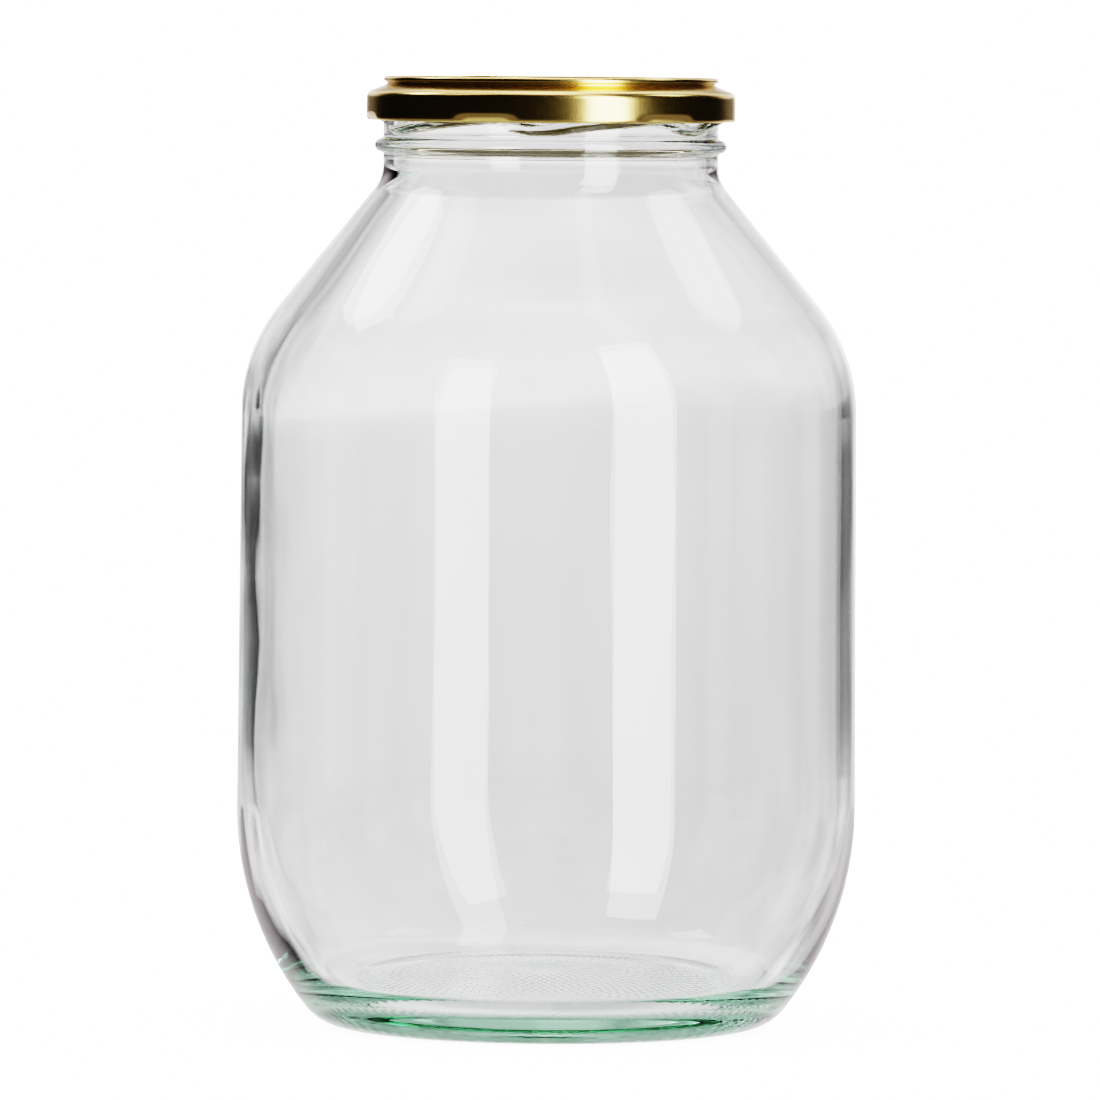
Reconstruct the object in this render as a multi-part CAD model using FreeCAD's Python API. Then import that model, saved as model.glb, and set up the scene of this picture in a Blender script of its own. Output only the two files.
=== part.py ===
import FreeCAD, Part
import math
import os

# Half-gallon wide-mouth glass jar with a one-piece six-lug lid of 82 mm.
# Millimetres. +Z is up, and the origin is the centre of the ring that the jar stands on.
# Angles about Z are counted from -Y towards +X, so they grow anticlockwise seen from above.

# ---- driving dimensions: glass, outside ----
BODY_RADIUS = 71.2            # widest, just above the heel
BODY_TOP_RADIUS = 70.7        # the wall leans in a little on its way up
BEARING_RADIUS = 46.0         # outer edge of the flat ring that the jar stands on
BEARING_WIDTH = 1.6
BEARING_EDGE = 3.0            # round between that ring and the push-up
PUSH_UP_SLOPE = 12.0          # degrees, where the push-up leaves the ring
HEEL_CORNER = 12.0            # radius of the lowest part of the heel
HEEL_LEAN = 38.0              # degrees off vertical where the two heel curves meet
SHOULDER_START = 141.2
SHOULDER_ROUND = 39.0
CONE_LEAN = 39.0              # degrees off vertical of the straight shoulder
NECK_RADIUS = 38.5
NECK_ROUND = 9.0
RIM_TOP = 214.7
RIM_ROUND = 1.4

# ---- driving dimensions: glass, inside ----
WALL_RADIUS = 68.0
WALL_TOP_RADIUS = 67.4
SHOULDER_THICKNESS = 3.7
INNER_SHOULDER_ROUND = 35.8
INNER_NECK_ROUND = 10.0
MOUTH_RADIUS = 35.6
INNER_HEEL_TOP = 52.5
INNER_HEEL_ROUND = 66.0
INNER_HEEL_LEAN = 36.0
INNER_CORNER = 12.0
FLOOR_SLOPE = 6.0             # degrees, where the raised floor leaves its corner

# ---- driving dimensions: bead and thread ----
BEAD_RADIUS = 40.5
BEAD_HEIGHT = 202.4
BEAD_NOSE = 1.6
BEAD_FILLET = 0.7
THREAD_COUNT = 6
THREAD_RADIUS = 40.4
THREAD_ROOT = 37.6            # inside the neck wall, so that the rib grows out of it
THREAD_LEAD = 25.0            # rise in one full turn
THREAD_TAIL = -14.0           # degrees, where the first rib starts
THREAD_MIDDLE = 205.5         # height of the rib's middle at its tail, before the tail turns up
THREAD_HALF = 1.25            # half of the rib's width, where it leaves the neck
THREAD_CREST_RISE = 0.6       # the crest lies above the rib's middle, so the lower flank is the longer
THREAD_CREST_HALF = 0.25

# ---- driving dimensions: lid ----
LID_RADIUS = 42.4
LID_BOTTOM = 208.0
LID_SHEET = 0.25
LID_SHOULDER = 213.8          # where the skirt starts to round over
LID_SHOULDER_ROUND = 1.8
FLANGE_SLOPE = 15.0           # degrees, falling outwards
GROOVE_RADIUS = 37.6          # foot of the fold under the stacking ridge
RIDGE_TOP = 218.2
RIDGE_ROUND = 0.75
RIDGE_INNER_CREST = 36.35     # the ridge's top is flat between its two crest radii
RIDGE_OUTER_CREST = 37.75
FOLD_TURN = 15.0              # degrees, where the ridge's underside leaves the groove's fold
PANEL_EDGE_RADIUS = 35.3
PANEL_HEIGHT = 216.4
PANEL_STEP_RADIUS = 29.5
PANEL_STEP = 0.5
CURL_SIZE = 1.5               # outside diameter of the rolled edge
LUG_COUNT = 6
LUG_FIRST = -20.9             # degrees
LUG_HALF_ANGLE = 5.5
LUG_RAMP = 5.0                # degrees over which a lug runs out into the curl
LUG_INNER_RADIUS = 39.7
LUG_THICKNESS = 0.8
LUG_LIFT = 0.05               # the lug's lower face above the rolled edge's lowest line
LUG_RUN_OUT = 0.2             # how deep its ends sink into the rolled edge
LUG_CLEARANCE = 0.3           # below the thread's lower flank

# ---- driving dimensions: gasket ----
GASKET_INNER_RADIUS = 35.4
GASKET_OUTER_RADIUS = 41.0
GASKET_GAP = 0.1              # to the lid above and to the rim below


def point(radius, height):
    return FreeCAD.Vector(radius, 0, height)


def polar(centre, radius, degrees):
    """A point on a circle in the profile plane; 0 degrees is outwards and 90 is up."""
    angle = math.radians(degrees)
    return point(centre[0] + radius * math.cos(angle), centre[1] + radius * math.sin(angle))


class Outline:
    """A half section, drawn as one chain of lines and arcs, that is then turned about Z."""

    def __init__(self, radius, height):
        self.first = point(radius, height)
        self.last = self.first
        self.edges = []

    def line_to(self, target):
        if target.distanceToPoint(self.last) > 1e-6:
            self.edges.append(Part.LineSegment(self.last, target).toShape())
            self.last = target
        return self

    def line(self, radius, height):
        return self.line_to(point(radius, height))

    def arc(self, centre, radius, start, end):
        """An arc from one angle to the other, joined to the chain by a line where it has to be."""
        self.line_to(polar(centre, radius, start))
        middle = polar(centre, radius, (start + end) / 2)
        target = polar(centre, radius, end)
        self.edges.append(Part.Arc(self.last, middle, target).toShape())
        self.last = target
        return self

    def turned(self):
        self.line_to(self.first)
        face = Part.Face(Part.Wire(self.edges))
        return face.revolve(FreeCAD.Vector(0, 0, 0), FreeCAD.Vector(0, 0, 1), 360)


def cone_offset(lean, wall_radius, round_radius, start_height):
    """Distance of a shoulder's cone from the origin, for a wall that rounds over into it."""
    angle = math.radians(lean)
    return (math.cos(angle) * (wall_radius - round_radius)
            + math.sin(angle) * start_height + round_radius)


def shoulder_centre(lean, offset, wall_radius, round_radius):
    """Centre of the arc that is tangent to an upright wall and to the cone above it."""
    angle = math.radians(lean)
    height = (offset - round_radius
              - math.cos(angle) * (wall_radius - round_radius)) / math.sin(angle)
    return (wall_radius - round_radius, height)


def neck_centre(lean, offset, neck_radius, round_radius):
    """Centre of the hollow arc that is tangent to the cone and to an upright neck."""
    angle = math.radians(lean)
    height = (offset + round_radius
              - math.cos(angle) * (neck_radius + round_radius)) / math.sin(angle)
    return (neck_radius + round_radius, height)


def bead_shape(outline):
    """The round transfer bead, with a small fillet above and below it."""
    nose = (BEAD_RADIUS - BEAD_NOSE, BEAD_HEIGHT)
    reach = BEAD_NOSE + BEAD_FILLET
    across = NECK_RADIUS + BEAD_FILLET - nose[0]
    along = math.sqrt(reach ** 2 - across ** 2)
    turn = math.degrees(math.atan2(along, across))
    below = (NECK_RADIUS + BEAD_FILLET, BEAD_HEIGHT - along)
    above = (NECK_RADIUS + BEAD_FILLET, BEAD_HEIGHT + along)
    outline.arc(below, BEAD_FILLET, 180, 180 - turn)
    outline.arc(nose, BEAD_NOSE, -turn, turn)
    outline.arc(above, BEAD_FILLET, 180 + turn, 180)


def glass_outside():
    """The outer surface from the push-up's centre to the rim, closed along the axis."""
    edge_centre = (BEARING_RADIUS - BEARING_WIDTH, BEARING_EDGE)
    edge_end = polar(edge_centre, BEARING_EDGE, -90 - PUSH_UP_SLOPE)
    dome_radius = edge_end.x / math.sin(math.radians(PUSH_UP_SLOPE))
    dome_centre = (0, edge_end.z - dome_radius * math.cos(math.radians(PUSH_UP_SLOPE)))
    outline = Outline(0, dome_centre[1] + dome_radius)
    outline.arc(dome_centre, dome_radius, 90, 90 - PUSH_UP_SLOPE)
    outline.arc(edge_centre, BEARING_EDGE, -90 - PUSH_UP_SLOPE, -90)
    corner_centre = (BEARING_RADIUS, HEEL_CORNER)
    outline.arc(corner_centre, HEEL_CORNER, -90, -HEEL_LEAN)
    heel_end = outline.last
    heel_round = (BODY_RADIUS - heel_end.x) / (1 - math.cos(math.radians(HEEL_LEAN)))
    heel_centre = (BODY_RADIUS - heel_round,
                   heel_end.z + heel_round * math.sin(math.radians(HEEL_LEAN)))
    outline.arc(heel_centre, heel_round, -HEEL_LEAN, 0)
    offset = cone_offset(CONE_LEAN, BODY_TOP_RADIUS, SHOULDER_ROUND, SHOULDER_START)
    shoulder = shoulder_centre(CONE_LEAN, offset, BODY_TOP_RADIUS, SHOULDER_ROUND)
    outline.arc(shoulder, SHOULDER_ROUND, 0, CONE_LEAN)
    neck = neck_centre(CONE_LEAN, offset, NECK_RADIUS, NECK_ROUND)
    outline.arc(neck, NECK_ROUND, 180 + CONE_LEAN, 180)
    bead_shape(outline)
    outline.arc((NECK_RADIUS - RIM_ROUND, RIM_TOP - RIM_ROUND), RIM_ROUND, 0, 90)
    outline.line(0, RIM_TOP)
    return outline.turned()


def glass_inside():
    """The space inside the jar, open at the mouth, where it runs past the rim."""
    corner_lean = math.radians(INNER_HEEL_LEAN)
    heel_centre = (WALL_RADIUS - INNER_HEEL_ROUND, INNER_HEEL_TOP)
    heel_end = polar(heel_centre, INNER_HEEL_ROUND, -INNER_HEEL_LEAN)
    corner_centre = (heel_end.x - INNER_CORNER * math.cos(corner_lean),
                     heel_end.z + INNER_CORNER * math.sin(corner_lean))
    floor_edge = polar(corner_centre, INNER_CORNER, -90 - FLOOR_SLOPE)
    dome_radius = floor_edge.x / math.sin(math.radians(FLOOR_SLOPE))
    dome_centre = (0, floor_edge.z - dome_radius * math.cos(math.radians(FLOOR_SLOPE)))
    outline = Outline(0, dome_centre[1] + dome_radius)
    outline.arc(dome_centre, dome_radius, 90, 90 - FLOOR_SLOPE)
    outline.arc(corner_centre, INNER_CORNER, -90 - FLOOR_SLOPE, -INNER_HEEL_LEAN)
    outline.arc(heel_centre, INNER_HEEL_ROUND, -INNER_HEEL_LEAN, 0)
    outside = cone_offset(CONE_LEAN, BODY_TOP_RADIUS, SHOULDER_ROUND, SHOULDER_START)
    offset = outside - SHOULDER_THICKNESS
    shoulder = shoulder_centre(CONE_LEAN, offset, WALL_TOP_RADIUS, INNER_SHOULDER_ROUND)
    outline.arc(shoulder, INNER_SHOULDER_ROUND, 0, CONE_LEAN)
    neck = neck_centre(CONE_LEAN, offset, MOUTH_RADIUS, INNER_NECK_ROUND)
    outline.arc(neck, INNER_NECK_ROUND, 180 + CONE_LEAN, 180)
    lip = (MOUTH_RADIUS + RIM_ROUND, RIM_TOP - RIM_ROUND)
    outline.arc(lip, RIM_ROUND, 180, 90)
    outline.line(lip[0], RIM_TOP + RIM_ROUND)
    outline.line(0, RIM_TOP + RIM_ROUND)
    return outline.turned()


def placed(radius, height, degrees):
    """A point at an angle about Z, counted from -Y towards +X."""
    angle = math.radians(degrees)
    return FreeCAD.Vector(radius * math.sin(angle), -radius * math.cos(angle), height)


def flank_slope(crest_height, foot_height):
    """Rise of a full-width flank for each millimetre away from the neck."""
    return (crest_height - foot_height) / (THREAD_RADIUS - NECK_RADIUS)


LOWER_FLANK = flank_slope(THREAD_CREST_RISE - THREAD_CREST_HALF, -THREAD_HALF)
UPPER_FLANK = flank_slope(THREAD_CREST_RISE + THREAD_CREST_HALF, THREAD_HALF)


def thread_rib():
    """One rib: a sloped bar with a tail that turns up, and both of its ends run into the neck."""
    # degrees along the rib, lift of its middle, share of the full width, share of the full height
    stations = [(0, 0.85, 0.12, 0.05), (3, 0.4, 0.3, 0.45), (6.5, 0.05, 0.48, 0.8),
                (10, -0.15, 0.6, 0.95), (14, -0.25, 0.75, 1), (20, -0.05, 0.98, 1),
                (26, 0, 1, 1), (34, 0, 1, 1), (44, 0, 1, 1), (54, 0, 1, 1), (62, 0, 0.9, 0.05)]
    sections = []
    for along, lift, width, height in stations:
        angle = THREAD_TAIL + along
        middle = THREAD_MIDDLE + THREAD_LEAD * along / 360 + lift
        half = THREAD_HALF * width
        rise = THREAD_CREST_RISE * width
        crest_half = THREAD_CREST_HALF * width
        crest = NECK_RADIUS + (THREAD_RADIUS - NECK_RADIUS) * height
        sunk = (NECK_RADIUS - THREAD_ROOT) * width
        corners = [placed(THREAD_ROOT, middle - half - LOWER_FLANK * sunk, angle),
                   placed(crest, middle + rise - crest_half, angle),
                   placed(crest, middle + rise + crest_half, angle),
                   placed(THREAD_ROOT, middle + half - UPPER_FLANK * sunk, angle)]
        sections.append(Part.makePolygon(corners + corners[:1]))
    return Part.makeLoft(sections, True, True)


def around(shape, count):
    """Copies of a shape, evenly spaced about the axis."""
    copies = []
    for index in range(count):
        copy = shape.copy()
        copy.rotate(FreeCAD.Vector(0, 0, 0), FreeCAD.Vector(0, 0, 1), index * 360 / count)
        copies.append(copy)
    return copies


def glass_jar():
    """Pressed and blown soda-lime glass: body, neck, bead and thread are one piece."""
    outside = glass_outside().fuse(around(thread_rib(), THREAD_COUNT))
    return outside.cut(glass_inside())


def flange_height(radius):
    """Height of the flange's upper side, which runs straight into the skirt's shoulder."""
    lean = math.radians(FLANGE_SLOPE)
    inwards = LID_RADIUS - LID_SHOULDER_ROUND - radius
    return LID_SHOULDER + LID_SHOULDER_ROUND / math.cos(lean) + inwards * math.tan(lean)


def lid_sheet():
    """The pressed tinplate: panel, stacking ridge, flange, skirt and the rolled edge below."""
    sheet = LID_SHEET
    shoulder = (LID_RADIUS - LID_SHOULDER_ROUND, LID_SHOULDER)
    inner_round = LID_SHOULDER_ROUND - sheet
    curl = (LID_RADIUS - CURL_SIZE / 2, LID_BOTTOM + CURL_SIZE / 2)
    inner_crest = (RIDGE_INNER_CREST, RIDGE_TOP - RIDGE_ROUND)
    outer_crest = (RIDGE_OUTER_CREST, RIDGE_TOP - RIDGE_ROUND)
    groove_height = flange_height(GROOVE_RADIUS)
    outline = Outline(0, PANEL_HEIGHT - PANEL_STEP)
    outline.line(PANEL_STEP_RADIUS - PANEL_STEP, PANEL_HEIGHT - PANEL_STEP)
    outline.line(PANEL_STEP_RADIUS, PANEL_HEIGHT)
    outline.line(PANEL_EDGE_RADIUS, PANEL_HEIGHT)
    outline.arc(inner_crest, RIDGE_ROUND, 180, 90)
    outline.arc(outer_crest, RIDGE_ROUND, 90, 0)
    outline.line(GROOVE_RADIUS, groove_height)
    outline.arc(shoulder, LID_SHOULDER_ROUND, 90 - FLANGE_SLOPE, 0)
    outline.arc(curl, CURL_SIZE / 2, 0, -90)
    outline.arc(curl, CURL_SIZE / 2, -90, -180)
    outline.arc(curl, CURL_SIZE / 2, 180, 90)
    outline.line(LID_RADIUS - sheet, LID_BOTTOM + CURL_SIZE)
    outline.arc(shoulder, inner_round, 0, 90 - FLANGE_SLOPE)
    outline.line(GROOVE_RADIUS - sheet, groove_height - sheet)
    outline.line(GROOVE_RADIUS - sheet, groove_height + sheet)
    outline.arc(outer_crest, RIDGE_ROUND - sheet, FOLD_TURN, 90)
    outline.arc(inner_crest, RIDGE_ROUND - sheet, 90, 180)
    outline.line(PANEL_EDGE_RADIUS + sheet, PANEL_HEIGHT - sheet)
    outline.line(PANEL_STEP_RADIUS + sheet / 2, PANEL_HEIGHT - sheet)
    outline.line(PANEL_STEP_RADIUS + sheet / 2 - PANEL_STEP, PANEL_HEIGHT - PANEL_STEP - sheet)
    outline.line(0, PANEL_HEIGHT - PANEL_STEP - sheet)
    return outline.turned()


def flank_above(radius, degrees):
    """Height, at one radius, of the lower flank of the rib that reaches over the first lug."""
    along = degrees - THREAD_TAIL + 360 / THREAD_COUNT
    foot = THREAD_MIDDLE - THREAD_HALF + THREAD_LEAD * along / 360
    return foot + LOWER_FLANK * (radius - NECK_RADIUS)


def lid_lug():
    """The rolled edge, pressed flat and inwards, so that it hooks under a thread."""
    half_width = LUG_HALF_ANGLE + LUG_RAMP
    stations = [(-half_width, 0), (-LUG_HALF_ANGLE, 1), (0, 1), (LUG_HALF_ANGLE, 1), (half_width, 0)]
    root = LID_RADIUS - CURL_SIZE / 2
    run_out = LID_RADIUS - CURL_SIZE + LUG_RUN_OUT
    bottom = LID_BOTTOM + LUG_LIFT
    sections = []
    for offset, reach in stations:
        angle = LUG_FIRST + offset
        tip = run_out + (LUG_INNER_RADIUS - run_out) * reach
        top = min(LID_BOTTOM + LUG_THICKNESS, flank_above(tip, angle) - LUG_CLEARANCE)
        corners = [placed(root, bottom, angle), placed(tip, bottom, angle),
                   placed(tip, top, angle), placed(root, top, angle)]
        sections.append(Part.makePolygon(corners + corners[:1]))
    return Part.makeLoft(sections, True, True)


def lid_shell():
    """Gold-lacquered tinplate lid, one pressing with its six lugs."""
    return lid_sheet().fuse(around(lid_lug(), LUG_COUNT))


def gasket():
    """The soft sealing ring that is flowed into the lid and closes on the glass rim."""
    under = LID_SHEET + GASKET_GAP
    below_flange = under / math.cos(math.radians(FLANGE_SLOPE))
    top_radius = GROOVE_RADIUS - LID_SHEET
    bottom = RIM_TOP + GASKET_GAP
    outline = Outline(GASKET_INNER_RADIUS, bottom)
    outline.line(GASKET_OUTER_RADIUS, bottom)
    outline.line(GASKET_OUTER_RADIUS, flange_height(GASKET_OUTER_RADIUS) - below_flange)
    outline.line(top_radius, flange_height(top_radius) - below_flange)
    outline.line(GASKET_INNER_RADIUS, PANEL_HEIGHT - under)
    return outline.turned()


PARTS = {"glass_jar": glass_jar, "lid_shell": lid_shell, "gasket": gasket}

os.makedirs("parts", exist_ok=True)
for name, make in PARTS.items():
    shape = make()
    shape.exportStep(os.path.join("parts", name + ".step"))
    print(name, "valid", shape.isValid(), "solids", len(shape.Solids),
          "volume %.1f" % shape.Volume, "box", shape.BoundBox)
inside = glass_inside()
print("brimful litres %.3f" % (inside.Volume / 1e6))
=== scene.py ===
# %% [markdown]
# # A large glass jar with a gold lid
# The jar is a half-gallon catering jar: one blown glass vessel, one pressed tinplate lid with six
# lugs, and the soft sealing ring inside that lid. The CAD model gives the places and sizes, and this
# script gives each piece its finer shape and its finish.

# %% Load the frame
import math

import bmesh
import bpy
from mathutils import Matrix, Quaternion, Vector, noise


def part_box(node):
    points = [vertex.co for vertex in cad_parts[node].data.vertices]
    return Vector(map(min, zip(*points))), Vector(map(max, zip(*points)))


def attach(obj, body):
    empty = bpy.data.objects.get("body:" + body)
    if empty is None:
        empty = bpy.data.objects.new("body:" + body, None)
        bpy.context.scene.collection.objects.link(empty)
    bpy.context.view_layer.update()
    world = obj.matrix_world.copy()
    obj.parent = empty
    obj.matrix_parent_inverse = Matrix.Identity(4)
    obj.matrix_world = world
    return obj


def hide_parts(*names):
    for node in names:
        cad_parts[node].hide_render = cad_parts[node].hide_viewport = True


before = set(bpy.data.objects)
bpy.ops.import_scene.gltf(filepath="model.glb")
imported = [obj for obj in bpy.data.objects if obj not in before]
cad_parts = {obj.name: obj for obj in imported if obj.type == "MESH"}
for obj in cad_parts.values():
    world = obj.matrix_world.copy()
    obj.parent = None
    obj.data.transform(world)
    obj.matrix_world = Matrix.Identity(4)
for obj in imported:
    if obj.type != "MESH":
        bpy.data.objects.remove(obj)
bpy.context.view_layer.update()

MM = 0.001
jar_low, jar_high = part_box("glass_jar")
lid_low, lid_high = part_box("lid_shell")
seal_low, seal_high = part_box("gasket")
print("jar", tuple(round(v / MM, 1) for v in jar_high - jar_low), "mm")

# %% [markdown]
# ## Drawing a half section
# Everything on this object is turned about one upright axis, in the glass mould or in the press. So
# each piece starts as a half section in the XZ plane. A pen that extrudes one vertex draws straight
# stretches, and the spin operator, turned about an arc's centre, draws round ones.

# %% Pen for half sections
def pen_at(bm, radius, height):
    return bm.verts.new((radius, 0, height))


def pen_line(bm, pen, radius, height, steps=1):
    """Extrudes the pen to a new place, in equal steps."""
    start, target = pen.co.copy(), Vector((radius, 0, height))
    for step in range(1, steps + 1):
        pen = bmesh.ops.extrude_vert_indiv(bm, verts=[pen])["verts"][0]
        pen.co = start.lerp(target, step / steps)
    return pen


def on_circle(centre, radius, degrees):
    angle = math.radians(degrees)
    return centre[0] + radius * math.cos(angle), centre[1] + radius * math.sin(angle)


def pen_arc(bm, pen, centre, radius, start, end, steps, lead_in=1):
    """Goes straight to the arc's start, then spins the pen. 0 degrees is outwards and 90 is up."""
    first = on_circle(centre, radius, start)
    if math.hypot(pen.co.x - first[0], pen.co.z - first[1]) > 0.002 * MM:
        pen = pen_line(bm, pen, first[0], first[1], lead_in)
    made = bmesh.ops.spin(bm, geom=[pen], cent=(centre[0], 0, centre[1]), axis=(0, -1, 0),
                          angle=math.radians(end - start), steps=steps, use_duplicate=False)
    return made["geom_last"][0]


# %% [markdown]
# Once the section is closed, one full spin about the upright axis makes the piece. The points on the
# axis come out many times and are merged, and then the normals are worked out again, so that every
# face looks out of the material.

# %% Turning a section into a piece
def turn_about_axis(bm, steps):
    bmesh.ops.spin(bm, geom=bm.verts[:] + bm.edges[:], cent=(0, 0, 0), axis=(0, 0, 1),
                   angle=2 * math.pi, steps=steps, use_merge=True, use_duplicate=False)
    bmesh.ops.remove_doubles(bm, verts=bm.verts, dist=0.001 * MM)
    bmesh.ops.recalc_face_normals(bm, faces=bm.faces)


def finished_piece(bm, name, body, node):
    """Stores the mesh as a smooth piece that stands for its CAD node."""
    for face in bm.faces:
        face.smooth = True
    open_edges = sum(1 for edge in bm.edges if len(edge.link_faces) != 2)
    mesh = bpy.data.meshes.new(name)
    bm.to_mesh(mesh)
    bm.free()
    piece = bpy.data.objects.new(name, mesh)
    bpy.context.scene.collection.objects.link(piece)
    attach(piece, body)
    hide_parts(node)
    print(name, len(mesh.polygons), "faces,", open_edges, "open edges")
    return piece


def ease(value, low, high):
    """0 below low, 1 above high, and a smooth rise between them."""
    share = min(1, max(0, (value - low) / (high - low)))
    return share * share * (3 - 2 * share)


def bearing_of(point):
    """Degrees about the axis from -Y towards +X, anticlockwise from above."""
    return math.degrees(math.atan2(point.x, -point.y))


def push_out(vertex, distance):
    """Moves a vertex straight away from the axis."""
    radius = math.hypot(vertex.co.x, vertex.co.y)
    if radius > 0.01 * MM:
        vertex.co.x *= (radius + distance) / radius
        vertex.co.y *= (radius + distance) / radius


# %% [markdown]
# ## The glass jar: half section
# A jar like this is blown in a mould, in one piece. Outside it has the mould's crisp shape: a ring to
# stand on, a heel of two arcs, an upright wall, a rounded shoulder, a straight cone, a neck and a
# bead. Inside it is softer and thicker towards the base, because no mould touches the glass there.

# %% Sizes of the glass
BODY_RADIUS = jar_high.x
RIM_TOP = jar_high.z
RIM_ROUND = 1.4 * MM
BODY_TOP_RADIUS = 70.7 * MM
BEARING_RADIUS = 46.0 * MM
BEARING_WIDTH = 1.6 * MM
BEARING_EDGE = 3.0 * MM
PUSH_UP_SLOPE = 12
HEEL_CORNER = 12.0 * MM
HEEL_LEAN = 38
SHOULDER_START = 141.2 * MM
SHOULDER_ROUND = 39.0 * MM
CONE_LEAN = 39
NECK_RADIUS = 38.5 * MM
NECK_ROUND = 9.0 * MM
BEAD_RADIUS = 40.5 * MM
BEAD_HEIGHT = 202.4 * MM
BEAD_NOSE = 1.6 * MM
BEAD_FILLET = 0.7 * MM
WALL_RADIUS = 68.0 * MM
WALL_TOP_RADIUS = 67.4 * MM
SHOULDER_THICKNESS = 3.7 * MM
INNER_SHOULDER_ROUND = 35.8 * MM
INNER_NECK_ROUND = 10.0 * MM
MOUTH_RADIUS = 35.6 * MM
INNER_HEEL_TOP = 52.5 * MM
INNER_HEEL_ROUND = 66.0 * MM
INNER_HEEL_LEAN = 36
INNER_CORNER = 12.0 * MM
FLOOR_SLOPE = 6
AROUND = 360

CONE_COS = math.cos(math.radians(CONE_LEAN))
CONE_SIN = math.sin(math.radians(CONE_LEAN))


def cone_distance(wall_radius, round_radius, start_height):
    """How far from the origin the cone lies, for a wall that rounds over into it."""
    return CONE_COS * (wall_radius - round_radius) + CONE_SIN * start_height + round_radius


def shoulder_centre(distance, wall_radius, round_radius):
    radius = wall_radius - round_radius
    return radius, (distance - round_radius - CONE_COS * radius) / CONE_SIN


def neck_centre(distance, neck_radius, round_radius):
    radius = neck_radius + round_radius
    return radius, (distance + round_radius - CONE_COS * radius) / CONE_SIN


# %% Outer half section of the glass
def draw_push_up(bm):
    edge = (BEARING_RADIUS - BEARING_WIDTH, BEARING_EDGE)
    meet = on_circle(edge, BEARING_EDGE, -90 - PUSH_UP_SLOPE)
    dome_round = meet[0] / math.sin(math.radians(PUSH_UP_SLOPE))
    dome = (0, meet[1] - dome_round * math.cos(math.radians(PUSH_UP_SLOPE)))
    pen = pen_at(bm, 0, dome[1] + dome_round)
    pen = pen_arc(bm, pen, dome, dome_round, 90, 90 - PUSH_UP_SLOPE, 84)
    return pen_arc(bm, pen, edge, BEARING_EDGE, -90 - PUSH_UP_SLOPE, -90, 3)


def draw_heel_and_wall(bm, pen):
    corner = (BEARING_RADIUS, HEEL_CORNER)
    pen = pen_arc(bm, pen, corner, HEEL_CORNER, -90, -HEEL_LEAN, 9)
    turn = math.radians(HEEL_LEAN)
    heel_round = (BODY_RADIUS - pen.co.x) / (1 - math.cos(turn))
    heel = (BODY_RADIUS - heel_round, pen.co.z + heel_round * math.sin(turn))
    pen = pen_arc(bm, pen, heel, heel_round, -HEEL_LEAN, 0, 14)
    distance = cone_distance(BODY_TOP_RADIUS, SHOULDER_ROUND, SHOULDER_START)
    shoulder = shoulder_centre(distance, BODY_TOP_RADIUS, SHOULDER_ROUND)
    pen = pen_arc(bm, pen, shoulder, SHOULDER_ROUND, 0, CONE_LEAN, 12, lead_in=9)
    neck = neck_centre(distance, NECK_RADIUS, NECK_ROUND)
    return pen_arc(bm, pen, neck, NECK_ROUND, 180 + CONE_LEAN, 180, 7, lead_in=5)


def draw_bead_and_rim(bm, pen):
    nose = (BEAD_RADIUS - BEAD_NOSE, BEAD_HEIGHT)
    across = NECK_RADIUS + BEAD_FILLET - nose[0]
    along = math.sqrt((BEAD_NOSE + BEAD_FILLET) ** 2 - across ** 2)
    turn = math.degrees(math.atan2(along, across))
    below = (NECK_RADIUS + BEAD_FILLET, BEAD_HEIGHT - along)
    above = (NECK_RADIUS + BEAD_FILLET, BEAD_HEIGHT + along)
    pen = pen_arc(bm, pen, below, BEAD_FILLET, 180, 180 - turn, 3, lead_in=2)
    pen = pen_arc(bm, pen, nose, BEAD_NOSE, -turn, turn, 9)
    pen = pen_arc(bm, pen, above, BEAD_FILLET, 180 + turn, 180, 3)
    rim = (NECK_RADIUS - RIM_ROUND, RIM_TOP - RIM_ROUND)
    return pen_arc(bm, pen, rim, RIM_ROUND, 0, 90, 5, lead_in=30)


# %% Inner half section of the glass
def draw_inside(bm, pen):
    lip = (MOUTH_RADIUS + RIM_ROUND, RIM_TOP - RIM_ROUND)
    pen = pen_arc(bm, pen, lip, RIM_ROUND, 90, 180, 5)
    outside = cone_distance(BODY_TOP_RADIUS, SHOULDER_ROUND, SHOULDER_START)
    distance = outside - SHOULDER_THICKNESS
    neck = neck_centre(distance, MOUTH_RADIUS, INNER_NECK_ROUND)
    pen = pen_arc(bm, pen, neck, INNER_NECK_ROUND, 180, 180 + CONE_LEAN, 8, lead_in=5)
    shoulder = shoulder_centre(distance, WALL_TOP_RADIUS, INNER_SHOULDER_ROUND)
    pen = pen_arc(bm, pen, shoulder, INNER_SHOULDER_ROUND, CONE_LEAN, 0, 11, lead_in=6)
    heel = (WALL_RADIUS - INNER_HEEL_ROUND, INNER_HEEL_TOP)
    pen = pen_arc(bm, pen, heel, INNER_HEEL_ROUND, 0, -INNER_HEEL_LEAN, 12, lead_in=12)
    lean = math.radians(INNER_HEEL_LEAN)
    corner = (pen.co.x - INNER_CORNER * math.cos(lean), pen.co.z + INNER_CORNER * math.sin(lean))
    pen = pen_arc(bm, pen, corner, INNER_CORNER, -INNER_HEEL_LEAN, -90 - FLOOR_SLOPE, 8)
    dome_round = pen.co.x / math.sin(math.radians(FLOOR_SLOPE))
    dome = (0, pen.co.z - dome_round * math.cos(math.radians(FLOOR_SLOPE)))
    return pen_arc(bm, pen, dome, dome_round, 90 - FLOOR_SLOPE, 90, 10)


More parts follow.
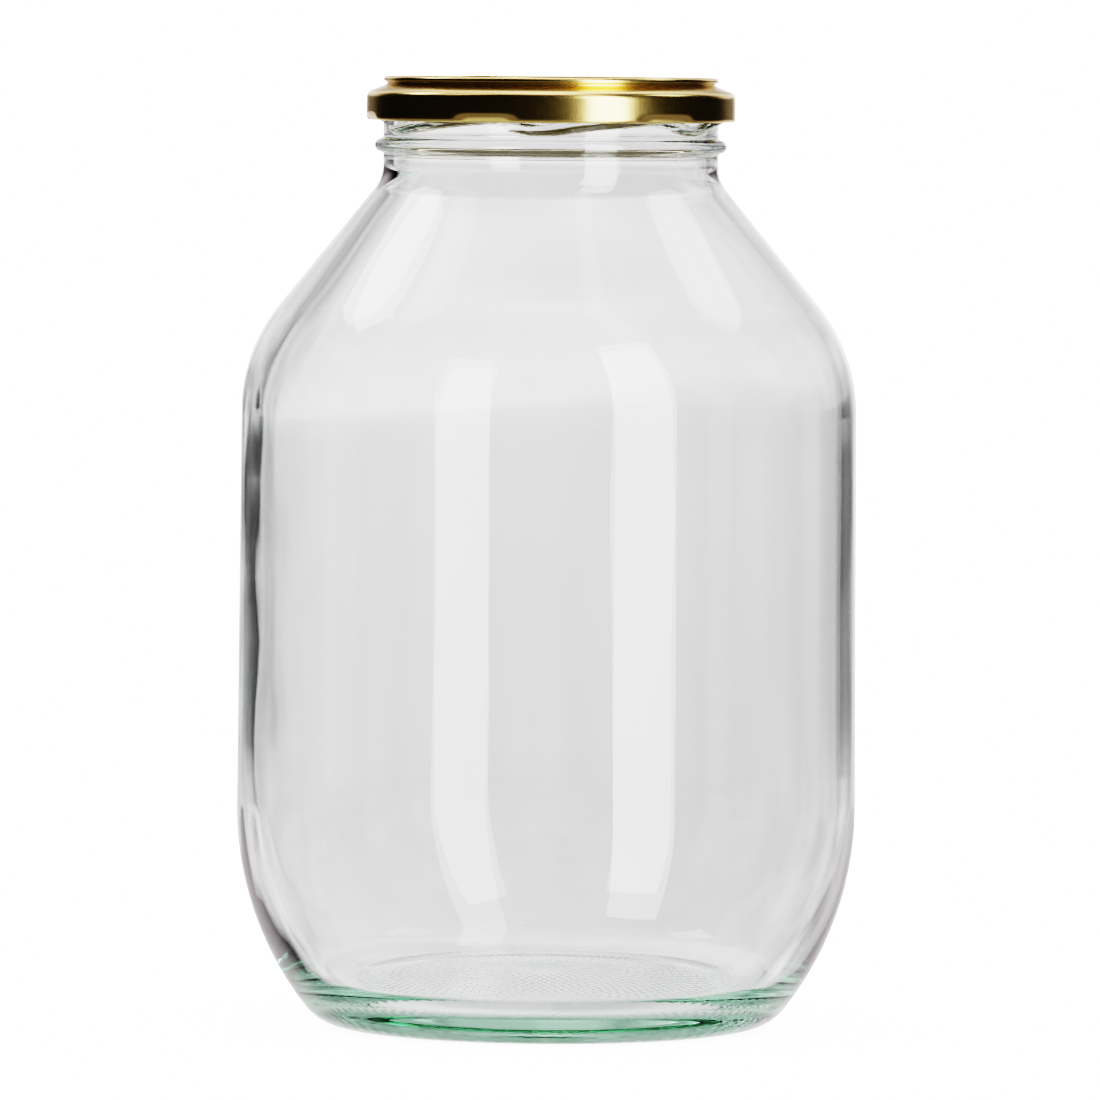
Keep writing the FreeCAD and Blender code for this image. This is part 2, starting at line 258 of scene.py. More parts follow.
# %% [markdown]
# ## The glass jar: thread, stipple and uneven wall
# Three things break the perfect round. Six short ribs climb round the neck and catch the lid's lugs.
# Rings of small raised dots under the base keep the hot jar off the conveyor. And the inner wall
# drifts by a few tenths of a millimetre, as blown glass does, which is what makes its edges and
# highlights wander. All three are moves of the turned mesh's own points, so the glass stays one skin.

# %% Thread ribs on the neck
THREAD_COUNT = 6
THREAD_PROUD = 1.9 * MM
THREAD_LEAD = 25.0 * MM
THREAD_TAIL = -14.0
THREAD_LENGTH = 62.0
THREAD_MIDDLE = 205.5 * MM
THREAD_HALF = 1.25 * MM
THREAD_CREST = 0.45


def rib_shape(across):
    """Height share across the rib, from -1 at its lower foot to 1 at its upper foot."""
    if abs(across) >= 1:
        return 0
    side = 1 + THREAD_CREST if across < THREAD_CREST else 1 - THREAD_CREST
    return 0.5 + 0.5 * math.cos(math.pi * (across - THREAD_CREST) / side)


def rib_height(bearing, height):
    """How far the thread stands out of the neck at one place. The rib's tail turns up."""
    proud = 0
    pitch = 360 / THREAD_COUNT
    for turn in range(2):
        along = (bearing - THREAD_TAIL) % pitch + turn * pitch
        if along > THREAD_LENGTH:
            continue
        turned_up = 0.85 * MM * (1 - ease(along, 0, 8))
        dip = 0.25 * MM * ease(along, 6, 13) * (1 - ease(along, 14, 24))
        middle = THREAD_MIDDLE + THREAD_LEAD * along / 360 + turned_up - dip
        half = THREAD_HALF * min(1, 0.2 + 0.042 * along)
        ends = ease(along, -1, 8) * (1 - ease(along, THREAD_LENGTH - 9, THREAD_LENGTH))
        proud = max(proud, THREAD_PROUD * ends * rib_shape((height - middle) / half))
    return proud


# %% Stipple and knurls under the base
DOT_PITCH = 2.0 * MM
DOT_HEIGHT = 0.4 * MM
DOT_COUNTS = (12, 18, 24, 30, 36, 45, 60, 72, 90)
FIRST_DOT_RING = 4
KNURL_COUNT = 90
KNURL_HEIGHT = 0.06 * MM


def dot_height(radius, bearing):
    """Rings of round dots, staggered from ring to ring, on the underside of the base."""
    ring = round(radius / DOT_PITCH)
    count = min(DOT_COUNTS, key=lambda dots: abs(dots - 2 * math.pi * ring))
    across = max(0, math.cos(math.pi * (radius / DOT_PITCH - ring)))
    phase = math.pi * (ring % 2)
    along = max(0, math.cos(math.radians(bearing) * count + phase))
    return DOT_HEIGHT * across * along if ring >= FIRST_DOT_RING else 0


# %% Drift of the blown wall
def wall_drift(point, size, stretch):
    """Smooth noise that runs from -1 to 1, longer up the wall than round it."""
    place = Vector((point.x / size, point.y / size, point.z / (size * stretch)))
    return noise.noise(place) + 0.5 * noise.noise(2.1 * place + Vector((7, 3, 5)))


def mould_details(bm, outer_count):
    """Moves the turned points: the first ones in each ring are outside, the others inside."""
    for vertex in bm.verts:
        point = vertex.co.copy()
        radius = math.hypot(point.x, point.y)
        bearing = bearing_of(point)
        if vertex.index in outer_count:
            if point.z > BEAD_HEIGHT + 2.0 * MM and radius > NECK_RADIUS - 0.1 * MM:
                push_out(vertex, rib_height(bearing, point.z))
            elif radius < BEARING_RADIUS - BEARING_WIDTH - 0.5 * MM and point.z < 6 * MM:
                vertex.co.z -= min(dot_height(radius, bearing), 0.8 * point.z)
            elif BEARING_RADIUS + 0.5 * MM < radius < 53 * MM and point.z < 4 * MM:
                along = math.cos(math.radians(bearing) * KNURL_COUNT)
                push_out(vertex, KNURL_HEIGHT * along)
            elif point.z > 20 * MM:
                push_out(vertex, 0.03 * MM * wall_drift(point, 40 * MM, 1.5))
        elif radius > 20 * MM:
            shoulder = ease(point.z, 135 * MM, 165 * MM) * (1 - ease(point.z, 188 * MM, 200 * MM))
            neck = 1 - 0.85 * ease(point.z, 180 * MM, 200 * MM)
            left = ease(-point.x, 40 * MM, 66 * MM)
            drift = 0.13 * MM * wall_drift(point, 45 * MM, 1.6)
            drift += left * 0.14 * MM * wall_drift(point, 18 * MM, 1.3)
            thicker = 0.6 * MM * left + 0.6 * MM * shoulder * math.cos(math.radians(bearing + 100))
            push_out(vertex, neck * (drift - thicker))


# %% Make the glass jar
glass_mesh = bmesh.new()
pen = draw_push_up(glass_mesh)
pen = draw_heel_and_wall(glass_mesh, pen)
pen = draw_bead_and_rim(glass_mesh, pen)
outside_rows = len(glass_mesh.verts)
draw_inside(glass_mesh, pen)
side_layer = glass_mesh.verts.layers.int.new("outside")
glass_mesh.verts.ensure_lookup_table()
for row, vertex in enumerate(glass_mesh.verts):
    vertex[side_layer] = 1 if row < outside_rows else 0
turn_about_axis(glass_mesh, AROUND)
glass_mesh.verts.index_update()
mould_details(glass_mesh, {v.index for v in glass_mesh.verts if v[side_layer]})
jar_glass = finished_piece(glass_mesh, "jar_glass", "jar", "glass_jar")

# %% [markdown]
# ## The lid
# The lid is one disc of thin tinplate, drawn in a press. From the middle out it has a flat panel with
# a shallow step, a stacking ridge that overhangs a tight groove, a flange, a skirt, and a rolled edge.
# At six places a punch bends that roll inwards and flattens it into a lug.

# %% Sizes of the lid
SHEET = 0.25 * MM
LID_RADIUS = lid_high.x
LID_BOTTOM = lid_low.z
LID_TOP = lid_high.z
PANEL_HEIGHT = LID_TOP - 1.8 * MM
STEP_ROUND = 0.5 * MM
STEP_TURN = 60
STEP_RADIUS = 29.5 * MM
RIDGE_ROUND = 0.75 * MM
INNER_CREST = 36.35 * MM
OUTER_CREST = 37.75 * MM
RIDGE_FOOT = 35.3 * MM
FOLD_ROUND = 0.3 * MM
FOLD_RADIUS = 37.7 * MM
SKIRT_ROUND = 1.8 * MM
SKIRT_TOP = 213.3 * MM
FLANGE_SLOPE = 22
CURL_ROUND = 0.75 * MM
LID_AROUND = 432


def flange_height(radius):
    """The flange's upper side is straight, and runs into the skirt's shoulder."""
    lean = math.radians(FLANGE_SLOPE)
    inwards = LID_RADIUS - SKIRT_ROUND - radius
    return SKIRT_TOP + SKIRT_ROUND / math.cos(lean) + inwards * math.tan(lean)


# %% Half section of the lid
def draw_lid_outside(bm):
    low = PANEL_HEIGHT - 2 * STEP_ROUND * (1 - math.cos(math.radians(STEP_TURN)))
    run = STEP_ROUND * math.sin(math.radians(STEP_TURN))
    crest_height = LID_TOP - RIDGE_ROUND
    pen = pen_at(bm, 0, low)
    pen = pen_arc(bm, pen, (STEP_RADIUS - run, low + STEP_ROUND), STEP_ROUND,
                  -90, -90 + STEP_TURN, 3, lead_in=6)
    pen = pen_arc(bm, pen, (STEP_RADIUS + run, PANEL_HEIGHT - STEP_ROUND), STEP_ROUND,
                  90 + STEP_TURN, 90, 3)
    foot = (RIDGE_FOOT - FOLD_ROUND, PANEL_HEIGHT + FOLD_ROUND)
    pen = pen_arc(bm, pen, foot, FOLD_ROUND, -90, -14, 4, lead_in=2)
    pen = pen_arc(bm, pen, (INNER_CREST, crest_height), RIDGE_ROUND, 180, 90, 6)
    pen = pen_arc(bm, pen, (OUTER_CREST, crest_height), RIDGE_ROUND, 90, -45, 11)
    fold = (FOLD_RADIUS + FOLD_ROUND, flange_height(FOLD_RADIUS + FOLD_ROUND) + FOLD_ROUND * 1.04)
    pen = pen_arc(bm, pen, fold, FOLD_ROUND, 135, 270 - FLANGE_SLOPE, 4)
    shoulder = (LID_RADIUS - SKIRT_ROUND, SKIRT_TOP)
    pen = pen_arc(bm, pen, shoulder, SKIRT_ROUND, 90 - FLANGE_SLOPE, 0, 9, lead_in=4)
    curl = (LID_RADIUS - CURL_ROUND, LID_BOTTOM + CURL_ROUND)
    return pen_arc(bm, pen, curl, CURL_ROUND, 0, -270, 14, lead_in=8)


def draw_lid_inside(bm, pen):
    crest_height = LID_TOP - RIDGE_ROUND
    pen = pen_line(bm, pen, LID_RADIUS - SHEET, LID_BOTTOM + 2 * CURL_ROUND)
    shoulder = (LID_RADIUS - SKIRT_ROUND, SKIRT_TOP)
    pen = pen_arc(bm, pen, shoulder, SKIRT_ROUND - SHEET, 0, 90 - FLANGE_SLOPE, 8, lead_in=7)
    fold = FOLD_RADIUS - SHEET
    pen = pen_line(bm, pen, fold, flange_height(fold) - SHEET, 4)
    pen = pen_line(bm, pen, fold, flange_height(fold) + SHEET, 2)
    pen = pen_arc(bm, pen, (OUTER_CREST, crest_height), RIDGE_ROUND - SHEET, 0, 90, 5)
    pen = pen_arc(bm, pen, (INNER_CREST, crest_height), RIDGE_ROUND - SHEET, 90, 180, 5)
    pen = pen_line(bm, pen, RIDGE_FOOT + SHEET, PANEL_HEIGHT - SHEET, 2)
    pen = pen_line(bm, pen, STEP_RADIUS + STEP_ROUND, PANEL_HEIGHT - SHEET, 2)
    low = PANEL_HEIGHT - STEP_ROUND - SHEET
    pen = pen_line(bm, pen, STEP_RADIUS - STEP_ROUND, low, 2)
    return pen_line(bm, pen, 0, low, 4)


# %% Lugs pressed into the rolled edge
LUG_COUNT = 6
LUG_FIRST = -20.9
LUG_HALF_ANGLE = 5.0
LUG_RAMP = 7.0
LUG_BEND_HEIGHT = 2.0 * MM
LUG_PUSH = 1.0 * MM
LUG_REACH = 39.7 * MM
LUG_FLATTEN = 0.6
LUG_RISE = THREAD_LEAD / 360


def lug_share(bearing):
    """1 on a lug, 0 between lugs, and a smooth ramp between, with the offset from its middle."""
    pitch = 360 / LUG_COUNT
    offset = (bearing - LUG_FIRST + pitch / 2) % pitch - pitch / 2
    return 1 - ease(abs(offset), LUG_HALF_ANGLE, LUG_HALF_ANGLE + LUG_RAMP), offset


def press_lugs(bm):
    """Bends the skirt's foot inwards, and flattens and stretches the roll behind it into a hook."""
    curl_radius = LID_RADIUS - CURL_ROUND
    stretch = (curl_radius - LUG_PUSH - LUG_REACH) / CURL_ROUND - 1
    for vertex in bm.verts:
        height = vertex.co.z - LID_BOTTOM
        radius = math.hypot(vertex.co.x, vertex.co.y)
        if height > LUG_BEND_HEIGHT or radius < LID_RADIUS - 2.5 * CURL_ROUND:
            continue
        share, offset = lug_share(bearing_of(vertex.co))
        bend = 1 - ease(height, 0.2 * MM, LUG_BEND_HEIGHT)
        inward = max(0, curl_radius - radius)
        rolled = height <= 2.02 * CURL_ROUND
        push = bend * LUG_PUSH if not rolled else max(bend, min(1, inward / CURL_ROUND)) * LUG_PUSH
        push_out(vertex, -share * (push + (stretch * inward if rolled else 0)))
        if rolled:
            hooked = share * ease(inward, -0.2 * CURL_ROUND, 0.6 * CURL_ROUND)
            vertex.co.z = LID_BOTTOM + height * (1 - hooked * LUG_FLATTEN)
            vertex.co.z += hooked * height / (2 * CURL_ROUND) * min(0, offset * LUG_RISE)


# %% Make the lid
lid_mesh = bmesh.new()
pen = draw_lid_outside(lid_mesh)
outer_rows = len(lid_mesh.verts)
draw_lid_inside(lid_mesh, pen)
# This marks the lid's inner side, where the material puts a duller lacquer and paints it darker as
# painted shade.
inside_layer = lid_mesh.verts.layers.float.new("inside")
lid_mesh.verts.ensure_lookup_table()
for row, vertex in enumerate(lid_mesh.verts):
    vertex[inside_layer] = 0.0 if row < outer_rows - 5 else 1.0
turn_about_axis(lid_mesh, LID_AROUND)
press_lugs(lid_mesh)
lid_metal = finished_piece(lid_mesh, "lid_metal", "lid", "lid_shell")

# %% [markdown]
# ## The sealing ring
# Plastisol is poured into the upturned lid while it spins, and sets as a soft flat ring with rounded
# shoulders. Screwed down, it takes a shallow groove from the rim of the glass.

# %% Make the sealing ring
RIM_GROOVE = 0.06 * MM
SEAL_ROUND = 0.35 * MM
SEAL_INNER = 35.4 * MM
SEAL_OUTER = 40.2 * MM
SEAL_BEDDING = 0.14 * MM


def draw_seal(bm):
    inner, outer = SEAL_INNER, SEAL_OUTER
    bottom = seal_low.z
    rim = (MOUTH_RADIUS + NECK_RADIUS) / 2
    under = SHEET + SEAL_BEDDING
    pen = pen_at(bm, inner, bottom + SEAL_ROUND)
    pen = pen_arc(bm, pen, (inner + SEAL_ROUND, bottom + SEAL_ROUND), SEAL_ROUND, 180, 270, 4)
    pen = pen_line(bm, pen, rim - 1.2 * MM, bottom)
    pen = pen_line(bm, pen, rim, bottom + RIM_GROOVE, 2)
    pen = pen_line(bm, pen, rim + 1.2 * MM, bottom, 2)
    pen = pen_line(bm, pen, outer - 0.1 * MM, bottom, 2)
    pen = pen_line(bm, pen, outer, bottom + 0.1 * MM)
    pen = pen_line(bm, pen, outer, flange_height(outer) - under)
    top_radius = FOLD_RADIUS - SHEET
    pen = pen_line(bm, pen, top_radius, flange_height(top_radius) - under, 3)
    return pen_line(bm, pen, inner, PANEL_HEIGHT - under, 2)


seal_mesh = bmesh.new()
last = draw_seal(seal_mesh)
seal_mesh.verts.ensure_lookup_table()
bmesh.ops.contextual_create(seal_mesh, geom=[last, seal_mesh.verts[0]])
turn_about_axis(seal_mesh, 240)
sealing_ring = finished_piece(seal_mesh, "sealing_ring", "seal", "gasket")

# %% [markdown]
# ## Materials
# One function turns an sRGB hex colour to the linear values that shaders need, and one adds a node
# with its settings and its links.

# %% Helpers for materials
def colour(hex_code):
    """An sRGB hex colour as linear red, green, blue and alpha."""
    channels = [int(hex_code[i:i + 2], 16) / 255 for i in (1, 3, 5)]
    linear = [c / 12.92 if c <= 0.04045 else ((c + 0.055) / 1.055) ** 2.4 for c in channels]
    return (*linear, 1)


def add_node(tree, kind, settings=None, **inputs):
    """Adds a node. A setting is an attribute, and an input is a value or another node's output."""
    node = tree.nodes.new(kind)
    for name, value in (settings or {}).items():
        setattr(node, name, value)
    for key, value in inputs.items():
        index = key.replace("_", " ")
        socket = node.inputs[int(index[2:])] if index.startswith("in") and index[2:].isdigit() \
            else node.inputs[index]
        if isinstance(value, bpy.types.NodeSocket):
            tree.links.new(value, socket)
        else:
            socket.default_value = value
    return node


def new_material(name):
    material = bpy.data.materials.new(name)
    material.use_nodes = True
    material.node_tree.nodes.clear()
    return material, material.node_tree


def dress(piece, material):
    piece.data.materials.clear()
    piece.data.materials.append(material)


# %% [markdown]
# ### Flint glass
# Soda-lime container glass, fire-polished: an IOR of 1.52 and almost no roughness. It has a little
# iron, so thick stretches, at the heel and along the edges, look green. That comes from absorption in
# the volume and not from a surface colour. The skin has a faint orange peel from the mould.

# %% Flint glass
def flint_glass():
    material, tree = new_material("flint_glass_fire_polished")
    place = add_node(tree, "ShaderNodeTexCoord").outputs["Object"]
    peel = add_node(tree, "ShaderNodeTexNoise", Vector=place, Scale=70.0, Detail=2.0)
    ripple = add_node(tree, "ShaderNodeBump", Strength=0.03, Distance=0.2 * MM,
                      Height=peel.outputs["Fac"])
    dust = add_node(tree, "ShaderNodeTexNoise", Vector=place, Scale=900.0, Detail=3.0)
    rough = add_node(tree, "ShaderNodeMapRange", Value=dust.outputs["Fac"],
                     From_Min=0.7, From_Max=0.8, To_Min=0.0, To_Max=0.1)
    glass = add_node(tree, "ShaderNodeBsdfPrincipled", Base_Color=colour("#ffffff"), IOR=1.52,
                     Transmission_Weight=1.0, Roughness=rough.outputs["Result"],
                     Normal=ripple.outputs["Normal"])
    tint = add_node(tree, "ShaderNodeVolumeAbsorption", Color=colour("#7fd8b4"), Density=10.5)
    add_node(tree, "ShaderNodeOutputMaterial", Surface=glass.outputs["BSDF"],
             Volume=tint.outputs["Volume"])
    return material


dress(jar_glass, flint_glass())

# %% [markdown]
# ### Gold-lacquered tinplate
# Tin-coated steel under a clear gold lacquer. The metal was rolled, so it has fine straight lines all
# one way, and the lacquer over them makes the shine satin rather than mirror-like.

# %% Gold tinplate
def gold_tinplate():
    material, tree = new_material("gold_lacquered_tinplate")
    place = add_node(tree, "ShaderNodeTexCoord").outputs["Object"]
    lines = add_node(tree, "ShaderNodeMapping", Vector=place, Scale=(2600.0, 160.0, 500.0))
    grain = add_node(tree, "ShaderNodeTexNoise", Vector=lines.outputs["Vector"], Scale=1.0,
                     Detail=3.0)
    tone = add_node(tree, "ShaderNodeTexNoise", Vector=place, Scale=60.0, Detail=4.0)
    shade = add_node(tree, "ShaderNodeMix", {"data_type": "RGBA"}, Factor=tone.outputs["Fac"])
    shade.inputs[6].default_value = colour("#ebd089")
    shade.inputs[7].default_value = colour("#e2c47c")
    inside = add_node(tree, "ShaderNodeAttribute", {"attribute_name": "inside"}).outputs["Fac"]
    # The lid's inner side gets a dark olive and a duller roughness. This is partly a gold-grey inner
    # lacquer, but the colour is painted darker than that lacquer to stand in for the shade that falls
    # inside the lid: painted shade.
    sides = add_node(tree, "ShaderNodeMix", {"data_type": "RGBA"}, Factor=inside)
    tree.links.new(shade.outputs[2], sides.inputs[6])
    sides.inputs[7].default_value = colour("#5f5626")
    rough = add_node(tree, "ShaderNodeMapRange", Value=grain.outputs["Fac"],
                     To_Min=0.18, To_Max=0.25)
    duller = add_node(tree, "ShaderNodeMix", Factor=inside, A=rough.outputs["Result"], B=0.5)
    bump = add_node(tree, "ShaderNodeBump", Strength=0.03, Distance=0.02 * MM,
                    Height=grain.outputs["Fac"])
    metal = add_node(tree, "ShaderNodeBsdfPrincipled", Base_Color=sides.outputs[2], Metallic=1.0,
                     Roughness=duller.outputs[0], Normal=bump.outputs["Normal"])
    add_node(tree, "ShaderNodeOutputMaterial", Surface=metal.outputs["BSDF"])
    return material


dress(lid_metal, gold_tinplate())

# %% [markdown]
# ### Plastisol
# Soft PVC compound, off-white, matt and slightly pitted by the bubbles that left it as it set.

# %% Plastisol
def plastisol():
    material, tree = new_material("flowed_in_plastisol")
    place = add_node(tree, "ShaderNodeTexCoord").outputs["Object"]
    pits = add_node(tree, "ShaderNodeTexNoise", Vector=place, Scale=1400.0, Detail=2.0)
    shade = add_node(tree, "ShaderNodeMix", {"data_type": "RGBA"}, Factor=pits.outputs["Fac"])
    shade.inputs[6].default_value = colour("#e9e4d6")
    shade.inputs[7].default_value = colour("#dcd5c4")
    bump = add_node(tree, "ShaderNodeBump", Strength=0.3, Distance=0.05 * MM,
                    Height=pits.outputs["Fac"])
    rubber = add_node(tree, "ShaderNodeBsdfPrincipled", Base_Color=shade.outputs[2],
                      Roughness=0.55, Normal=bump.outputs["Normal"])
    add_node(tree, "ShaderNodeOutputMaterial", Surface=rubber.outputs["BSDF"])
    return material


dress(sealing_ring, plastisol())

# %% [markdown]
# ## The studio
# Clear glass is drawn by what stands round it. A white field behind the jar shines through it, and
# the dark room at the sides comes in at its edges and outlines them. One tall softbox at the front
# right gives the long highlights.

# %% Floor
FLOOR_RADIUS = 0.4


def floor_board():
    """White to the eye, and clear to rays from the glass or the lid, which see the room below."""
    material, tree = new_material("matt_white_board")
    place = add_node(tree, "ShaderNodeTexCoord").outputs["Object"]
    fibre = add_node(tree, "ShaderNodeTexNoise", Vector=place, Scale=300.0, Detail=3.0)
    shade = add_node(tree, "ShaderNodeMix", {"data_type": "RGBA"}, Factor=fibre.outputs["Fac"])
    shade.inputs[6].default_value = colour("#fbfbfa")
    shade.inputs[7].default_value = colour("#f8f8f7")
    board = add_node(tree, "ShaderNodeBsdfDiffuse", Color=shade.outputs[2])
    clear = add_node(tree, "ShaderNodeBsdfTransparent")
    path = add_node(tree, "ShaderNodeLightPath")
    indirect = add_node(tree, "ShaderNodeMath", {"operation": "MAXIMUM"},
                        in0=path.outputs["Is Glossy Ray"], in1=path.outputs["Is Transmission Ray"])
    seen = add_node(tree, "ShaderNodeMixShader", in0=indirect.outputs[0],
                    in1=board.outputs["BSDF"], in2=clear.outputs["BSDF"])
    add_node(tree, "ShaderNodeOutputMaterial", Surface=seen.outputs["Shader"])
    return material


floor_mesh = bmesh.new()
bmesh.ops.create_circle(floor_mesh, cap_ends=True, segments=128, radius=FLOOR_RADIUS)
floor_data = bpy.data.meshes.new("floor")
floor_mesh.to_mesh(floor_data)
floor_mesh.free()
floor = bpy.data.objects.new("floor", floor_data)
bpy.context.scene.collection.objects.link(floor)
floor.location.z = -0.02 * MM
dress(floor, floor_board())

# %% World
MAIN_FIELD = 88
OTHER_FIELDS = (135, 180, -45)
FIELD_COLOUR = "#fff7fb"
WHITE_LEVEL = 22.0
# Half widths of the white fields and of the pale cloth round the main one, in degrees.
MAIN_WIDTH = 15
OTHER_WIDTH = 9
CLOTH_WIDTH = 38
# The main field falls off to the right between these azimuths, down to this share.
FALL_OFF = (87.8, 90.2, 0.86)
# Each of these gives the light's level at some elevations, in degrees.
GLASS_FIELD = ((-90, 0.8), (-50, 0.8), (-30, 1.3), (-14, 1.1), (-8, 0.98), (-4.2, 0.98),
               (-2.6, 1.15), (-1.6, 1.25), (-1.0, 1.6), (-0.5, 1.6), (8, 1.2), (35, 0.8), (90, 0.5))
GLASS_SIDES = ((-90, 0.8), (-50, 0.8), (-30, 1.2), (-9, 1.0), (-4.4, 0.7), (-3.2, 0.14),
               (-1.2, 0.14), (0.5, 0.6), (25, 0.6), (90, 0.5))
METAL_FIELD = ((-90, 0.2), (-40, 0.2), (-22, 1.1), (-5, 1.1), (-1, 1.5), (4, 2.5), (9, 1.5),
               (13, 0.5), (19, 0.25), (25, 0.45), (31, 1.4), (37, 2.4), (90, 2.6))
METAL_CLOTH = ((-90, 0.2), (-40, 0.2), (-22, 0.9), (-5, 0.8), (-3.2, 0.1), (3, 0.3), (9, 1.2),
               (50, 0.8), (90, 2.6))
METAL_OTHERS = ((-90, 0.2), (-20, 0.2), (-8, 0.012), (40, 0.012), (60, 2.6), (90, 2.6))
METAL_SIDES = ((-90, 0.2), (-20, 0.2), (-8, 0.012), (64, 0.012), (80, 0.8), (90, 2.6))


def field_share(tree, azimuth, centre, half_width, softness):
    """1 where a direction looks at a white field, and 0 beside it."""
    apart = add_node(tree, "ShaderNodeMath", {"operation": "SUBTRACT"}, in0=azimuth,
                     in1=math.radians(centre))
    wrapped = add_node(tree, "ShaderNodeMath", {"operation": "WRAP"}, in0=apart.outputs[0],
                       in1=math.pi, in2=-math.pi)
    away = add_node(tree, "ShaderNodeMath", {"operation": "ABSOLUTE"}, in0=wrapped.outputs[0])
    fade = add_node(tree, "ShaderNodeMapRange", {"interpolation_type": "SMOOTHSTEP"},
                    Value=away.outputs[0], From_Min=math.radians(half_width - softness),
                    From_Max=math.radians(half_width + softness), To_Min=1.0, To_Max=0.0)
    return fade.outputs["Result"]


def level_by_height(tree, elevation, stops):
    """A smooth curve through levels given at elevations, drawn by a colour ramp."""
    highest = max(level for degrees, level in stops)
    ramp = add_node(tree, "ShaderNodeValToRGB", Fac=elevation)
    ramp.color_ramp.interpolation = "EASE"
    elements = ramp.color_ramp.elements
    elements.remove(elements[1])
    for index, (degrees, level) in enumerate(stops):
        place = 0.5 + degrees / 180
        element = elements.new(place) if index else elements[0]
        element.position = place
        element.color = (level / highest, level / highest, level / highest, 1)
    scaled = add_node(tree, "ShaderNodeMath", {"operation": "MULTIPLY"},
                      in0=ramp.outputs["Color"], in1=highest)
    return scaled.outputs[0]


def mixed(tree, share, low, high):
    return add_node(tree, "ShaderNodeMix", Factor=share, A=low, B=high).outputs[0]


def greater(tree, first, second):
    return add_node(tree, "ShaderNodeMath", {"operation": "MAXIMUM"}, in0=first,
                    in1=second).outputs[0]


def studio_world():
    world = bpy.data.worlds.new("studio")
    world.use_nodes = True
    world.cycles.sampling_method = "NONE"
    tree = world.node_tree
    tree.nodes.clear()
    direction = add_node(tree, "ShaderNodeTexCoord").outputs["Generated"]
    parts = add_node(tree, "ShaderNodeSeparateXYZ", Vector=direction)
    azimuth = add_node(tree, "ShaderNodeMath", {"operation": "ARCTAN2"},
                       in0=parts.outputs["Y"], in1=parts.outputs["X"]).outputs[0]
    upward = add_node(tree, "ShaderNodeMath", {"operation": "ARCSINE"}, in0=parts.outputs["Z"])
    elevation = add_node(tree, "ShaderNodeMapRange", Value=upward.outputs[0],
                         From_Min=-math.pi / 2, From_Max=math.pi / 2).outputs["Result"]
    main = field_share(tree, azimuth, MAIN_FIELD, MAIN_WIDTH, 4)
    cloth = field_share(tree, azimuth, MAIN_FIELD, CLOTH_WIDTH, 10)
    others = 0.0
    for centre in OTHER_FIELDS:
        others = greater(tree, others, field_share(tree, azimuth, centre, OTHER_WIDTH, 3))
    clutter = add_node(tree, "ShaderNodeTexNoise", Vector=direction, Scale=5.0, Detail=2.0)
    patches = add_node(tree, "ShaderNodeMapRange", Value=clutter.outputs["Fac"], From_Min=0.35,
                       From_Max=0.65, To_Min=0.4, To_Max=1.7)
    sides = add_node(tree, "ShaderNodeMath", {"operation": "MULTIPLY"},
                     in0=level_by_height(tree, elevation, GLASS_SIDES),
                     in1=patches.outputs["Result"]).outputs[0]
    fall_off = add_node(tree, "ShaderNodeMapRange", {"interpolation_type": "SMOOTHSTEP"},
                        Value=azimuth, From_Min=math.radians(FALL_OFF[0]),
                        From_Max=math.radians(FALL_OFF[1]), To_Min=FALL_OFF[2], To_Max=1.0)
    behind = add_node(tree, "ShaderNodeMath", {"operation": "MULTIPLY"},
                      in0=level_by_height(tree, elevation, GLASS_FIELD),
                      in1=fall_off.outputs["Result"]).outputs[0]
    glass_sees = mixed(tree, greater(tree, main, others), sides, behind)
    metal_sees = mixed(tree, others, level_by_height(tree, elevation, METAL_SIDES),
                       level_by_height(tree, elevation, METAL_OTHERS))
    metal_sees = mixed(tree, cloth, metal_sees, level_by_height(tree, elevation, METAL_CLOTH))
    metal_sees = mixed(tree, main, metal_sees, level_by_height(tree, elevation, METAL_FIELD))
    path = add_node(tree, "ShaderNodeLightPath")
    level = mixed(tree, path.outputs["Is Glossy Ray"], WHITE_LEVEL, metal_sees)
    level = mixed(tree, path.outputs["Is Transmission Ray"], level, glass_sees)
    lit = greater(tree, path.outputs["Is Camera Ray"], path.outputs["Diffuse Depth"])
    level = mixed(tree, lit, level, WHITE_LEVEL)
    back = add_node(tree, "ShaderNodeBackground", Color=colour(FIELD_COLOUR), Strength=level)
    add_node(tree, "ShaderNodeOutputWorld", Surface=back.outputs["Background"])
    bpy.context.scene.world = world


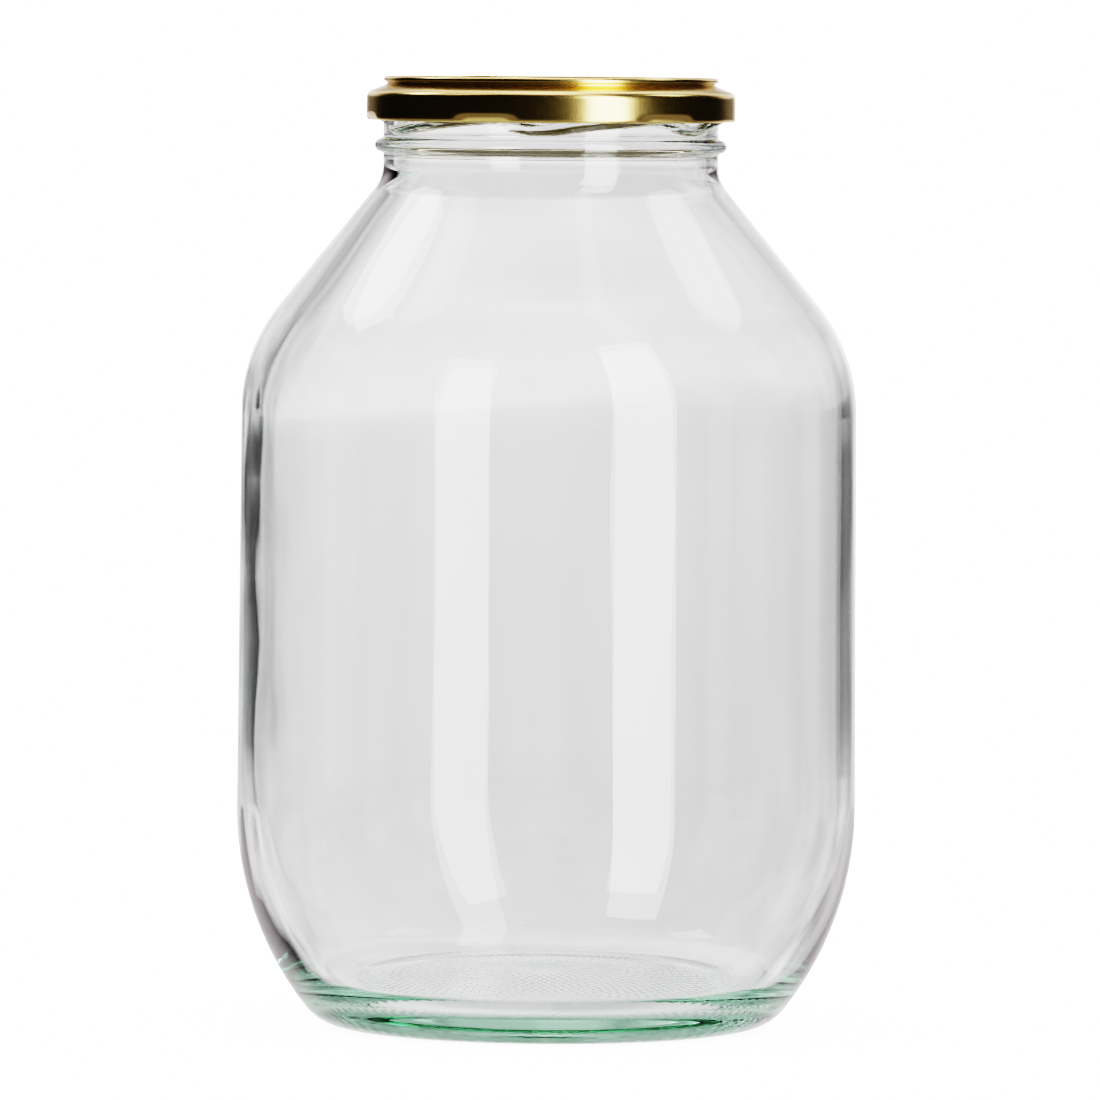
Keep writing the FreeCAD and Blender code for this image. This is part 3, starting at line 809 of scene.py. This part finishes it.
studio_world()
bpy.context.scene.view_settings.view_transform = "Filmic"
bpy.context.scene.view_settings.look = "Very High Contrast"
bpy.context.scene.cycles.max_bounces = 24
bpy.context.scene.cycles.glossy_bounces = 16
bpy.context.scene.cycles.transmission_bounces = 24

# %% Softboxes
def softbox(name, azimuth, elevation, distance, width, height, radiance):
    """A rectangular light that faces the jar, placed by its bearing from the axis and its height."""
    target = Vector((0, 0, 0.11))
    turn, lift = math.radians(azimuth), math.radians(elevation)
    away = Vector((math.sin(turn) * math.cos(lift), -math.cos(turn) * math.cos(lift),
                   math.sin(lift)))
    light = bpy.data.lights.new(name, "AREA")
    light.shape = "RECTANGLE"
    light.size, light.size_y = width, height
    light.energy = radiance * math.pi * width * height
    lamp = bpy.data.objects.new(name, light)
    lamp.location = target + away * distance
    lamp.rotation_mode = "QUATERNION"
    lamp.rotation_quaternion = away.to_track_quat("Z", "Y")
    bpy.context.scene.collection.objects.link(lamp)
    return lamp


softbox("key_softbox", 35.6, 7, 1.2, 0.5, 2.22, 7.0)
softbox("right_rim_softbox", 112, 51, 1.2, 0.35, 0.3, 3.0)
softbox("left_rim_softbox", -118, 47, 1.2, 0.35, 0.3, 5.0)

# %% [markdown]
# ## The camera
# A long lens from a little above the jar's middle, as for a catalogue picture: the lid is seen almost
# edge on, and only a sliver of the base's ellipse shows.

# %% Camera
CAMERA_DISTANCE = 2.43
CAMERA_HEIGHT = 0.2345
AIM = Vector((0.0005, 0, 0.1095))
VIEW_ANGLE = 5.95
ROLL = 0.43

camera_data = bpy.data.cameras.new("camera")
camera_data.sensor_width = 36
camera_data.lens = 18 / math.tan(math.radians(VIEW_ANGLE / 2))
camera_data.clip_start, camera_data.clip_end = 0.05, 50
camera = bpy.data.objects.new("camera", camera_data)
camera.location = (AIM.x, -CAMERA_DISTANCE, CAMERA_HEIGHT)
look = (AIM - camera.location).to_track_quat("-Z", "Y")
camera.rotation_mode = "QUATERNION"
camera.rotation_quaternion = look @ Quaternion((0, 0, 1), math.radians(ROLL))
bpy.context.scene.collection.objects.link(camera)
bpy.context.scene.camera = camera
